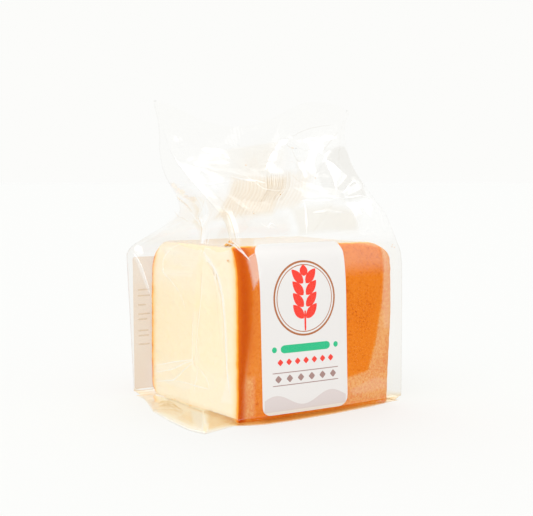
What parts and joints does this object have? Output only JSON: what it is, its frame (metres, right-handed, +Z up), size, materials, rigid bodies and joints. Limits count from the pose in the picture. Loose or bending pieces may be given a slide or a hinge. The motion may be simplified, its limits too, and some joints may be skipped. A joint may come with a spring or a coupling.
{
  "type": "packed chiffon cake",
  "caption": "Block of pale chiffon cake with a brown crust, sealed in a clear side-gusseted film pack with a plain label.",
  "frame": {"origin": "middle of the pack's box at the level of the table", "axes": "+Z up to the seal, -Y is the label's side, -X is the cut face of the cake"},
  "size_m": [0.1176, 0.0918, 0.1435],
  "materials": {
    "film": "thin clear film, glossy and creased",
    "crumb": "fine open sponge crumb, pale cream yellow, matt",
    "crust": "orange-brown baked crust with a fine grain, matt",
    "label_print": "opaque warm white print on film, with plain coloured shapes",
    "back_print": "translucent beige print on film, with plain ruled lines"
  },
  "bodies": {
    "root": {"pack": "film"}
  },
  "joints": []
}
